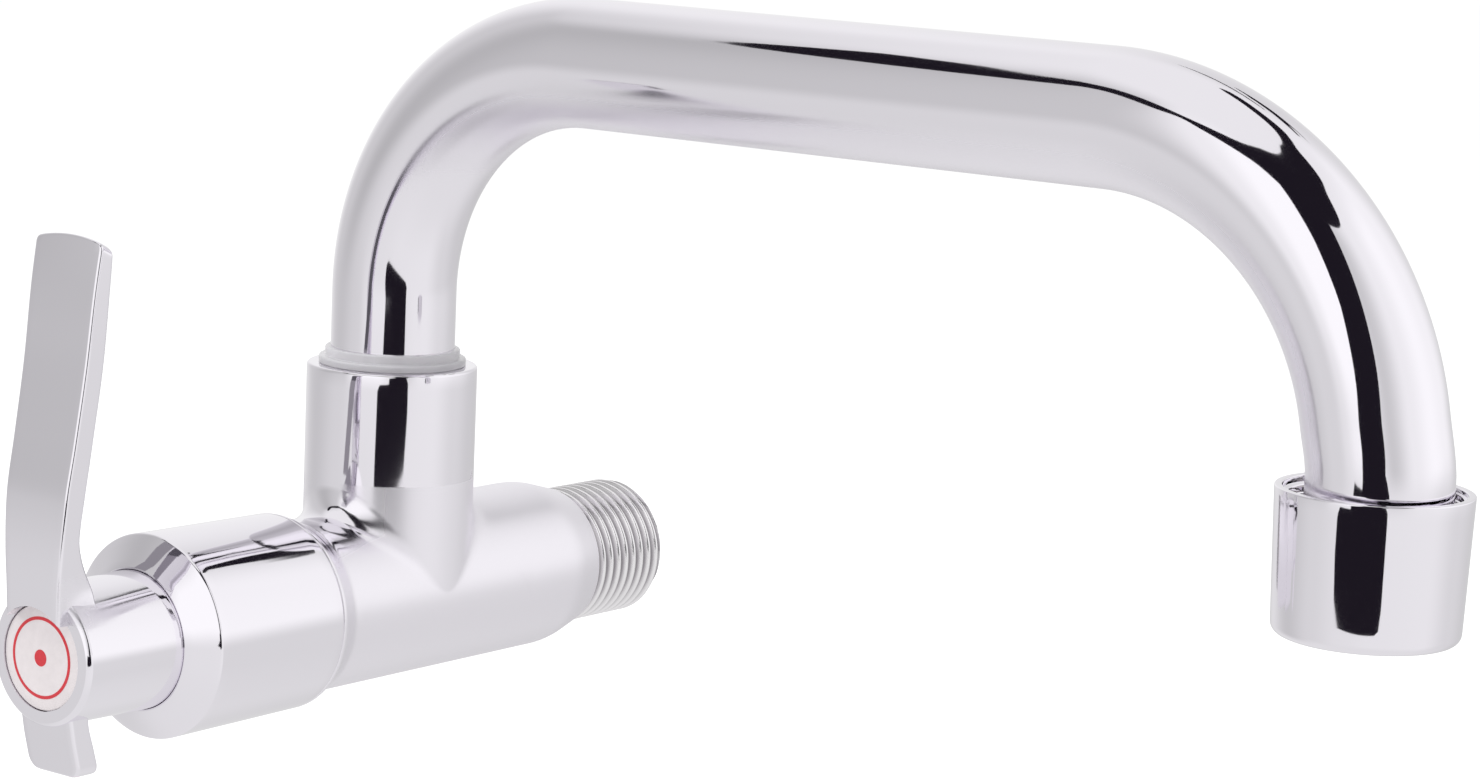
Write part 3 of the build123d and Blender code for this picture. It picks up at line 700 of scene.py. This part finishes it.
def spout_tube(material):
    """The bent tube. Its end is set over and swelled a little where it goes into the cup."""
    columns, thickness, set_over, swell = 112, 1.0, 0.6, 0.04
    points = []
    stations = spout_stations()
    for wall, way in ((0.0, 1), (thickness, -1)):
        for (x, z), (dx, dz) in stations[::way]:
            over = eased((47.5 - z) / 7.5) if dz < -0.5 else 0.0
            for side, across in circle(TUBE_R + swell * over - wall, columns):
                points.append((x + set_over * over + across * dz, side, z - across * dx))
    tube = mesh_object("spout_tube_skin", points, bands(points, columns), material)
    set_satin(tube, tube_satin)
    return tube


def tube_satin(co):
    """The tube is polished on its riser and outside its bends, and satin inside and below."""
    bend = INNER_BEND_R if co.x < SPOUT_REACH / 2 else OUTER_BEND_R
    centre_z = SPOUT_HEIGHT - bend
    across = co.x - min(max(co.x, INNER_BEND_R), SPOUT_REACH - OUTER_BEND_R)
    inside = bend - sqrt(across ** 2 + max(co.z - centre_z, 0.0) ** 2)
    reach = eased((co.z - BEND_POLISH) / 8) if co.x < INNER_BEND_R else 1.0
    return eased((inside / TUBE_R - 0.05) / 0.6) * reach


def glide_ring(material):
    lip, step, lip_top = TUBE_R + 1.7, TUBE_R + 0.8, TOWER_TOP + 1.1
    return turned("glide_ring_skin", [
        (TOWER_BORE_R, TOWER_TOP, 0), (lip, TOWER_TOP, 0.15), (lip, lip_top, 0.35),
        (step, lip_top, 0.15), (step, TUBE_FOOT, 0.3), (TOWER_BORE_R, TUBE_FOOT, 0)],
        material, axis="z", segments=144, longest=1.0)


def outlet_cup(material):
    """The cup round the tube's end, with a few turns of its inside thread in the mouth."""
    mouth_r, floor_r, bore_r = 11.25, 8.6, 10.65
    thread_pitch, thread_depth, columns = 1.0, 0.5, 144
    floor_top = CUP_BOTTOM + 1.3
    outline = split_long(rounded([
        (floor_r, CUP_BOTTOM, 0.25), (11.65, CUP_BOTTOM, 1.4), (12.25, CUP_TOP, 0.2),
        (mouth_r, CUP_TOP, 0.2), (mouth_r, CUP_TOP - 0.5, 0)]), 2.0)
    thread_top, thread_end = CUP_TOP - 0.6, CUP_TOP - 4.0
    outline += [(mouth_r, z) for z in spread(thread_top, thread_end, 36)]
    outline += [(bore_r, CUP_TOP - 4.2), (bore_r, floor_top), (floor_r, floor_top)]
    points = []
    for r, z in outline:
        threaded = thread_end < z < thread_top and r == mouth_r
        for j in range(columns):
            if threaded:
                phase = (z / thread_pitch + j / columns) % 1
                r = mouth_r - thread_depth * (0.5 - 0.5 * cos(2 * pi * phase))
            a = 2 * pi * j / columns
            points.append((SPOUT_REACH + r * sin(a), r * cos(a), z))
    return mesh_object("outlet_cup_skin", points, bands(points, columns), material, 40)


# One operator for each group of pieces

class TAP_OT_body(bpy.types.Operator):
    """Builds the tap body's polished skin and its inlet thread"""
    bl_idname = "tap.body"
    bl_label = "Tap body"

    def execute(self, context):
        finish = context.scene.tap_finish
        points, faces = body_surface()
        skin = mesh_object("tap_body_skin", points, faces, chrome("chrome plated brass", 0.045))
        set_satin(skin, body_satin)
        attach(skin, "tap_body")
        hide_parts("tap_body")
        thread = thread_sleeve(thread_metal(finish.thread_colour, finish.painted_groove_shade))
        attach(thread, "tap_body")
        return {"FINISHED"}


class TAP_OT_cap(bpy.types.Operator):
    """Builds the bonnet cap over the cartridge"""
    bl_idname = "tap.cap"
    bl_label = "Bonnet cap"

    def execute(self, context):
        rear = CAP_REAR - 0.02  # so that it doesn't touch the collar
        cap = turned("bonnet_cap_skin", [
            (COLLAR_R, rear, 0.2), (CAP_R, CAP_SHOULDER, 0.5), (CAP_HOLE_R, CAP_FRONT, 0.2),
            (CAP_HOLE_R, CAP_FRONT + CAP_WALL, 0.1), (CAP_BORE_R, CAP_SHOULDER + CAP_WALL, 0),
            (CAP_BORE_R, rear, 0)],
            bpy.data.materials["chrome plated brass"], segments=200, longest=1.5)
        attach(cap, "tap_body")
        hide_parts("bonnet_cap")
        return {"FINISHED"}


class TAP_OT_handle(bpy.types.Operator):
    """Builds the lever with its hub and the index button"""
    bl_idname = "tap.handle"
    bl_label = "Handle"

    def execute(self, context):
        finish = context.scene.tap_finish
        casting = lever(chrome("chrome plated zinc casting", 0.06))
        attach(casting, "handle")
        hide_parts("lever_handle")
        button = index_button(moulded("moulded pearl plastic", finish.index_colour, 0.3, coat=0.6))
        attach(button, "handle")
        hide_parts("index_button")
        ink = moulded("red pad printing ink", finish.mark_colour, 0.35, mottle=0.08, grain=0.0004)
        for name, r_in, r_out in (("index_ring_mark", 5.2, 5.65), ("index_dot_mark", 0.0, 1.15)):
            mark = index_mark(name, r_in, r_out, ink)
            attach(mark, "handle")
        return {"FINISHED"}


class TAP_OT_spout(bpy.types.Operator):
    """Builds the spout's bent tube and the clear ring that it turns on"""
    bl_idname = "tap.spout"
    bl_label = "Spout"

    def execute(self, context):
        tube = spout_tube(bpy.data.materials["chrome plated brass"])
        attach(tube, "spout")
        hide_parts("spout_tube")
        ring = glide_ring(clear_plastic())
        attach(ring, "spout")
        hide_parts("glide_ring")
        return {"FINISHED"}


class TAP_OT_outlet(bpy.types.Operator):
    """Builds the outlet cup"""
    bl_idname = "tap.outlet"
    bl_label = "Outlet"

    def execute(self, context):
        cup = outlet_cup(bpy.data.materials["chrome plated brass"])
        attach(cup, "spout")
        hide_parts("outlet_cup")
        return {"FINISHED"}


class TAP_OT_inner_parts(bpy.types.Operator):
    """Gives the cartridge, the seals and the aerator their materials"""
    bl_idname = "tap.inner_parts"
    bl_label = "Inner parts"

    def execute(self, context):
        brass = turned_metal("turned brass", linear("C9A45C"), 0.28)
        finishes = {
            brass: ["headwork_body", "spindle"],
            turned_metal("turned and nickelled brass", linear("CFCBC6"), 0.25, axis="Z"):
                ["spout_ferrule", "tube_end_collar"],
            turned_metal("stainless steel", linear("B9B9BA"), 0.3):
                ["handle_screw", "spindle_circlip", "aerator_screen"],
            moulded("moulded nitrile rubber", linear("1B1B1D"), 0.6, mottle=0.2):
                ["headwork_o_ring", "seat_seal", "spindle_o_ring_inner", "spindle_o_ring_outer",
                 "spout_o_ring_lower", "spout_o_ring_upper", "aerator_gasket"],
            moulded("moulded white acetal", linear("E9E9E6"), 0.38):
                ["seal_support_ring", "glide_washer", "spout_split_ring", "aerator_body",
                 "flow_straightener"],
            moulded("lapped alumina ceramic", linear("F0EDE6"), 0.22, ior=1.76, mottle=0.03):
                ["fixed_disc", "moving_disc"],
        }
        for material, names in finishes.items():
            for name in names:
                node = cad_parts[name]
                node.data.materials.clear()
                node.data.materials.append(material)
        return {"FINISHED"}


# Stage: camera, floor, lamps and what the chrome mirrors

CAMERA_AT = (0.38546, -0.45890, 0.12191)
CAMERA_AZIMUTH = 37.35
CAMERA_ELEVATION = 8.96
CAMERA_ROLL = 2.52
TENT_CENTRE = (0.10, -0.04, 0.06)
TENT_R = 1.25
# How bright the tent's wall and the floor in front of it are at each azimuth, from +Y to +X.
WALL_LEVELS = [(-180, 1.10), (-165, 0.96), (-150, 0.64), (-120, 0.52), (-90, 0.66), (-50, 0.94),
               (-10, 0.76), (30, 1.02), (60, 1.08), (95, 0.96), (128, 0.66), (160, 1.10)]
LOW_LEVELS = [(-180, 0.84), (-140, 0.75), (-100, 0.62), (-60, 0.80), (-25, 0.62), (0, 0.66),
              (40, 0.76), (80, 0.90), (140, 0.88)]
TOP_LEVEL = 0.92
DOWN_LEVEL = 0.83
# Outline of the dark opening that the camera looks through, in metres along its plane and up
# from the inlet's axis. The plane runs from OPENING_START in the direction OPENING_RUN.
OPENING_START = (0.292, -0.193)
OPENING_RUN = (-0.8917, -0.4526)
OPENING = [(-0.015, -0.027), (0.006, -0.037), (0.2, -0.037), (0.21, -0.03), (0.203, -0.008),
           (0.19, 0.008), (0.134, 0.01), (0.13, 0.03), (0.112, 0.06), (0.09, 0.12), (0.086, 0.19),
           (0.095, 0.26), (0.11, 0.33), (-0.04, 0.33), (-0.022, 0.2), (-0.005, 0.1), (0.012, 0.04),
           (-0.012, 0.008)]
# The gap between the tent's walls and its top: azimuth, elevation and half its width, in degrees
# as seen from its centre, one metre away.
ROOF_GAP_CENTRE = (0.13, -0.04, 0.08)
ROOF_GAP = [
    (-108, 50.7, 0.2), (-111.5, 48.6, 2.2), (-118, 46.6, 3.4), (-130, 43.4, 2.8),
    (-142, 43.6, 2.9), (-154, 42.6, 3.4), (-161, 44.6, 2.0), (-168, 45.8, 3.3), (-180, 49.9, 4.7),
    (-188, 52.6, 5.9), (-197, 54.4, 8.6), (-208, 56.0, 10.5), (-233, 59.7, 11.3),
    (-256, 62.8, 11.2), (-276, 67.5, 7.9), (-296, 68.0, 6.3), (-318, 68.7, 3.3),
    (-333, 66.5, 3.4), (-344, 64.8, 4.0), (-357, 64.0, 3.6), (-372, 61.2, 3.0), (-377, 61.2, 0.3)]
# Painted reflection: two black strips behind the tap, seen only in the chrome, draw the fine
# black lines along the tops of the cap and the hub: elevation and the azimuths of both edges, in
# degrees as seen from their centre.
PAINTED_LINE_CENTRE = (0.0, -0.07, 0.014)
PAINTED_LINE_AWAY = 1.1
CAP_PAINTED_LINE = [(47.6, 17.0, 12.0), (46.8, 17.0, 5.0), (46.2, 16.0, -0.8), (45.8, 14.6, -1.4),
             (45.2, 12.2, -2.2), (44.8, 10.8, -3.2), (44.4, 9.8, -4.6), (43.2, 11.0, -6.0),
             (42.6, 13.5, -6.5), (41.9, 15.0, 3.0)]
HUB_PAINTED_LINE = [(51.4, 8.0, 1.0), (50.9, 8.0, 0.8), (50.6, 7.6, -3.2), (50.1, 3.9, -5.9),
             (49.6, 1.0, -7.8), (49.1, -2.0, -10.0), (48.4, -5.0, -12.6), (47.8, -7.6, -14.2),
             (47.2, -10.0, -15.6), (46.6, -13.1, -16.9), (45.6, -17.5, -19.1)]
# Painted reflection: two narrow grey sheets behind the lever, seen only in the chrome, draw the
# thin dark strip on the tower and the spout's riser as a darker reflection of the lever: height
# and the places of both edges, in millimetres.
PAINTED_STRIP_PLANE = -61.0
UPPER_PAINTED_STRIP = [(48.5, 4.6, 5.6), (36.0, -4.0, 2.2), (29.0, -8.5, -2.0)]
LOWER_PAINTED_STRIP = [(29.0, -9.0, -2.5), (22.0, -11.5, -4.5), (9.5, -17.5, -10.0)]
LAMPS_AIM = (0.08, -0.05, 0.03)


def only_mirrored(obj):
    """The object shows in reflections and nowhere else."""
    for ray in ("camera", "diffuse", "transmission", "volume_scatter", "shadow"):
        setattr(obj, "visible_" + ray, False)


def stage_mesh(name, points, faces, material):
    mesh = bpy.data.meshes.new(name)
    mesh.from_pydata(points, [], faces)
    mesh.materials.append(material)
    obj = add_object(name, mesh)
    return obj


def hang(name, outline, material):
    """A flat cloth that only the chrome sees; the same sheets make the painted reflection strips.
    """
    only_mirrored(stage_mesh(name, outline, [tuple(range(len(outline)))], material))


def both_edges(rows, place):
    """Outline of a strip from its rows of (height, one edge, other edge)."""
    return ([place(edge, height) for height, edge, _ in rows]
            + [place(edge, height) for height, _, edge in reversed(rows)])


def direction(azimuth, elevation):
    a, e = radians(azimuth), radians(elevation)
    return Vector((sin(a) * cos(e), cos(a) * cos(e), sin(e)))


def glowing(name, hex_colour):
    """Evenly lit cloth, which shows its plain colour in the chrome; also the colour of the painted
    reflection strips.
    """
    material, tree = new_material(name)
    glow = add_node(tree, "Emission", {"Color": linear(hex_colour)})
    add_node(tree, "OutputMaterial", links={"Surface": glow})
    return material


def tent_cloth():
    """White cloth lit from outside: its brightness changes slowly round the object."""
    material, tree = new_material("lit tent cloth")
    place = add_node(tree, "TexCoord").outputs["Object"]
    unit = add_node(tree, "VectorMath", {"operation": "NORMALIZE"}, {0: place})
    axes = add_node(tree, "SeparateXYZ", links={"Vector": unit})
    azimuth = add_node(tree, "Math", {"operation": "ARCTAN2"},
                       {0: axes.outputs["X"], 1: axes.outputs["Y"]})
    turn = add_node(tree, "MapRange", {"From Min": -pi, "From Max": pi}, {"Value": azimuth})
    full = 1.2

    def around(levels):
        ramp = add_node(tree, "ValToRGB", links={"Fac": turn})
        ramp.color_ramp.interpolation = "EASE"
        stops = ramp.color_ramp.elements
        stops.remove(stops[1])
        for degrees_round, level in levels + [(180, levels[0][1])]:
            at = (degrees_round + 180) / 360
            stop = stops[0] if at == 0 else stops.new(at)
            stop.color = (level / full, level / full, level / full, 1)
        return ramp.outputs["Color"]

    def rising(low, high, below, above):
        share = add_node(tree, "MapRange", {
            "interpolation_type": "SMOOTHSTEP", "From Min": low, "From Max": high},
            {"Value": axes.outputs["Z"]})
        mix = add_node(tree, "Mix", {"data_type": "RGBA"}, {0: share})
        for socket, value in ((6, below), (7, above)):
            if isinstance(value, float):
                mix.inputs[socket].default_value = (value / full, value / full, value / full, 1)
            else:
                tree.links.new(value, mix.inputs[socket])
        return mix.outputs[2]

    low = rising(-0.92, -0.42, DOWN_LEVEL, around(LOW_LEVELS))
    wall = rising(-0.24, 0.04, low, around(WALL_LEVELS))
    cloth = rising(0.68, 0.88, wall, TOP_LEVEL)
    glow = add_node(tree, "Emission", {"Strength": full}, {"Color": cloth})
    add_node(tree, "OutputMaterial", links={"Surface": glow})
    return material


def tent():
    """A tent of pale cloth that only the chrome sees."""
    bm = bmesh.new()
    bmesh.ops.create_uvsphere(bm, u_segments=96, v_segments=48, radius=TENT_R)
    mesh = bpy.data.meshes.new("tent")
    bm.to_mesh(mesh)
    bm.free()
    mesh.materials.append(tent_cloth())
    obj = add_object("tent", mesh)
    obj.location = TENT_CENTRE
    only_mirrored(obj)


def roof_gap(material):
    """Black cloth in the gap between the tent's walls and its top, in a smooth strip."""
    tables = [list(enumerate(column)) for column in zip(*ROOF_GAP)]
    pieces, last = 6, len(ROOF_GAP) - 1
    stations = [[curve_value(table, i + k / pieces) for table in tables]
                for i in range(last) for k in range(pieces)] + [ROOF_GAP[last]]
    points = [tuple(Vector(ROOF_GAP_CENTRE) + direction(azimuth, elevation + side * half))
              for azimuth, elevation, half in stations for side in (-1, 1)]
    faces = [(2 * i, 2 * i + 1, 2 * i + 3, 2 * i + 2) for i in range(len(stations) - 1)]
    only_mirrored(stage_mesh("roof_gap", points, faces, material))


def set_camera(stage):
    """The camera, fitted to the tap's outline in the photograph."""
    data = bpy.data.cameras.new("camera")
    data.sensor_width = 36.0
    data.lens = stage.lens / MM
    data.clip_start, data.clip_end = 0.01, 50.0
    camera = add_object("camera", data)
    azimuth, elevation, roll = map(radians, (CAMERA_AZIMUTH, CAMERA_ELEVATION, CAMERA_ROLL))
    back = Vector((sin(azimuth) * cos(elevation), -cos(azimuth) * cos(elevation),
                   sin(elevation)))
    level = Vector((cos(azimuth), sin(azimuth), 0))
    up = back.cross(level)
    right = cos(roll) * level + sin(roll) * up
    up = back.cross(right)
    turn = Matrix((right, up, back)).transposed().to_4x4()
    camera.matrix_world = Matrix.Translation(CAMERA_AT) @ turn
    bpy.context.scene.camera = camera


def light_world():
    """White all round, and dimmer in the light that it gives than to the eye."""
    world = bpy.data.worlds.new("studio")
    bpy.context.scene.world = world
    world.use_nodes = True
    tree = world.node_tree
    tree.nodes.clear()
    ray = add_node(tree, "LightPath")
    shown = add_node(tree, "Math", {"operation": "MAXIMUM"},
                     {0: ray.outputs["Is Camera Ray"], 1: ray.outputs["Is Glossy Ray"]})
    shown = add_node(tree, "Math", {"operation": "MAXIMUM"},
                     {0: shown, 1: ray.outputs["Is Transmission Ray"]})
    lit = add_node(tree, "Background", {"Color": linear("FFFFFF"), "Strength": 0.62})
    seen = add_node(tree, "Background", {"Color": linear("FFFFFF"), "Strength": 1.0})
    mix = add_node(tree, "MixShader", links={0: shown, 1: lit, 2: seen})
    add_node(tree, "OutputWorld", links={"Surface": mix})


def lay_floor(stage):
    """A pale floor. It shows white to the camera and keeps the tap's shadow."""
    material, tree = new_material("pale floor")
    ray = add_node(tree, "LightPath")
    seen = add_node(tree, "Math", {"operation": "MAXIMUM"},
                    {0: ray.outputs["Is Camera Ray"], 1: ray.outputs["Is Transmission Ray"]})
    matt = add_node(tree, "BsdfDiffuse", {"Color": stage.floor_colour})
    glow = add_node(tree, "Emission", {"Color": linear("FFFFFF"), "Strength": 0.45})
    lifted = add_node(tree, "AddShader", links={0: matt, 1: glow})
    surface = add_node(tree, "MixShader", links={0: seen, 1: matt, 2: lifted})
    add_node(tree, "OutputMaterial", links={"Surface": surface})
    half, z = 6.0, -stage.floor_depth
    corners = [(-half, -half, z), (half, -half, z), (half, half, z), (-half, half, z)]
    floor = stage_mesh("floor", corners, [(0, 1, 2, 3)], material)
    # The chrome mirrors the tent's lower half instead, which meets the wall with no line.
    floor.visible_glossy = False


def hang_lamps():
    """Two soft lamps that light the floor and the pieces, unseen by the chrome."""
    for name, place, size, power in (
            ("top_lamp", (0.05, -0.15, 0.95), 0.9, 5.0),
            ("left_lamp", (-0.7, -0.75, 0.45), 0.7, 3.0)):
        data = bpy.data.lights.new(name, "AREA")
        data.shape = "DISK"
        data.size = size
        data.energy = power
        lamp = add_object(name, data)
        lamp.location = place
        lamp.rotation_mode = "QUATERNION"
        aim = Vector(LAMPS_AIM) - Vector(place)
        lamp.rotation_quaternion = aim.to_track_quat("-Z", "Y")
        lamp.visible_glossy = False
        lamp.visible_camera = False


class TAP_OT_stage(bpy.types.Operator):
    """Sets the camera, floor, lamps, the cloths round the tap and the painted reflection strips"""
    bl_idname = "tap.stage"
    bl_label = "Stage"

    def execute(self, context):
        stage = context.scene.tap_stage
        set_camera(stage)
        light_world()
        lay_floor(stage)
        hang_lamps()
        tent()
        # Black for the opening and the roof gap, and for the painted reflection lines.
        black = glowing("black cloth and painted reflection lines", "1E1A22")
        (x, y), (dx, dy) = OPENING_START, OPENING_RUN
        hang("opening", [(x + dx * along, y + dy * along, up) for along, up in OPENING], black)
        roof_gap(black)
        # Painted reflection: black strips that draw the dark lines along the cap and the hub.
        for name, rows in (("cap_painted_reflection_line", CAP_PAINTED_LINE), ("hub_painted_reflection_line", HUB_PAINTED_LINE)):
            hang(name, both_edges(rows, lambda azimuth, elevation: tuple(
                Vector(PAINTED_LINE_CENTRE) + PAINTED_LINE_AWAY * direction(azimuth, elevation))), black)
        # Painted reflection: grey sheets that darken the lever's reflection on the tower and the
        # riser.
        for name, grey, rows in (("upper_painted_reflection", "5A585E", UPPER_PAINTED_STRIP),
                                 ("lower_painted_reflection", "939096", LOWER_PAINTED_STRIP)):
            hang(name, both_edges(rows, lambda x, z: to_row((x, PAINTED_STRIP_PLANE, z))),
                 glowing(name + " cloth", grey))
        return {"FINISHED"}


class TAP_PT_panel(bpy.types.Panel):
    bl_label = "Tap"
    bl_space_type = "VIEW_3D"
    bl_region_type = "UI"
    bl_category = "Tap"

    def draw(self, context):
        for group in setting_groups:
            settings = getattr(context.scene, group)
            box = self.layout.box()
            for name in settings.bl_rna.properties.keys():
                if name not in ("rna_type", "name"):
                    box.prop(settings, name)
        for operator in operators:
            self.layout.operator(operator.bl_idname)


setting_groups = {"tap_finish": TapFinishSettings, "tap_shape": TapShapeSettings,
                  "tap_stage": TapStageSettings}
operators = [TAP_OT_body, TAP_OT_cap, TAP_OT_handle, TAP_OT_spout, TAP_OT_outlet,
             TAP_OT_inner_parts, TAP_OT_stage]


def register():
    for cls in (*setting_groups.values(), *operators, TAP_PT_panel):
        bpy.utils.register_class(cls)
    for name, group in setting_groups.items():
        setattr(bpy.types.Scene, name, bpy.props.PointerProperty(type=group))


def unregister():
    for name in setting_groups:
        delattr(bpy.types.Scene, name)
    for cls in (TAP_PT_panel, *reversed(operators), *setting_groups.values()):
        bpy.utils.unregister_class(cls)


def main():
    register()
    scene = bpy.context.scene
    scene.view_settings.view_transform = "Standard"
    for operator in operators:
        getattr(bpy.ops.tap, operator.bl_idname.split(".")[1])()


if __name__ == "__main__":
    main()
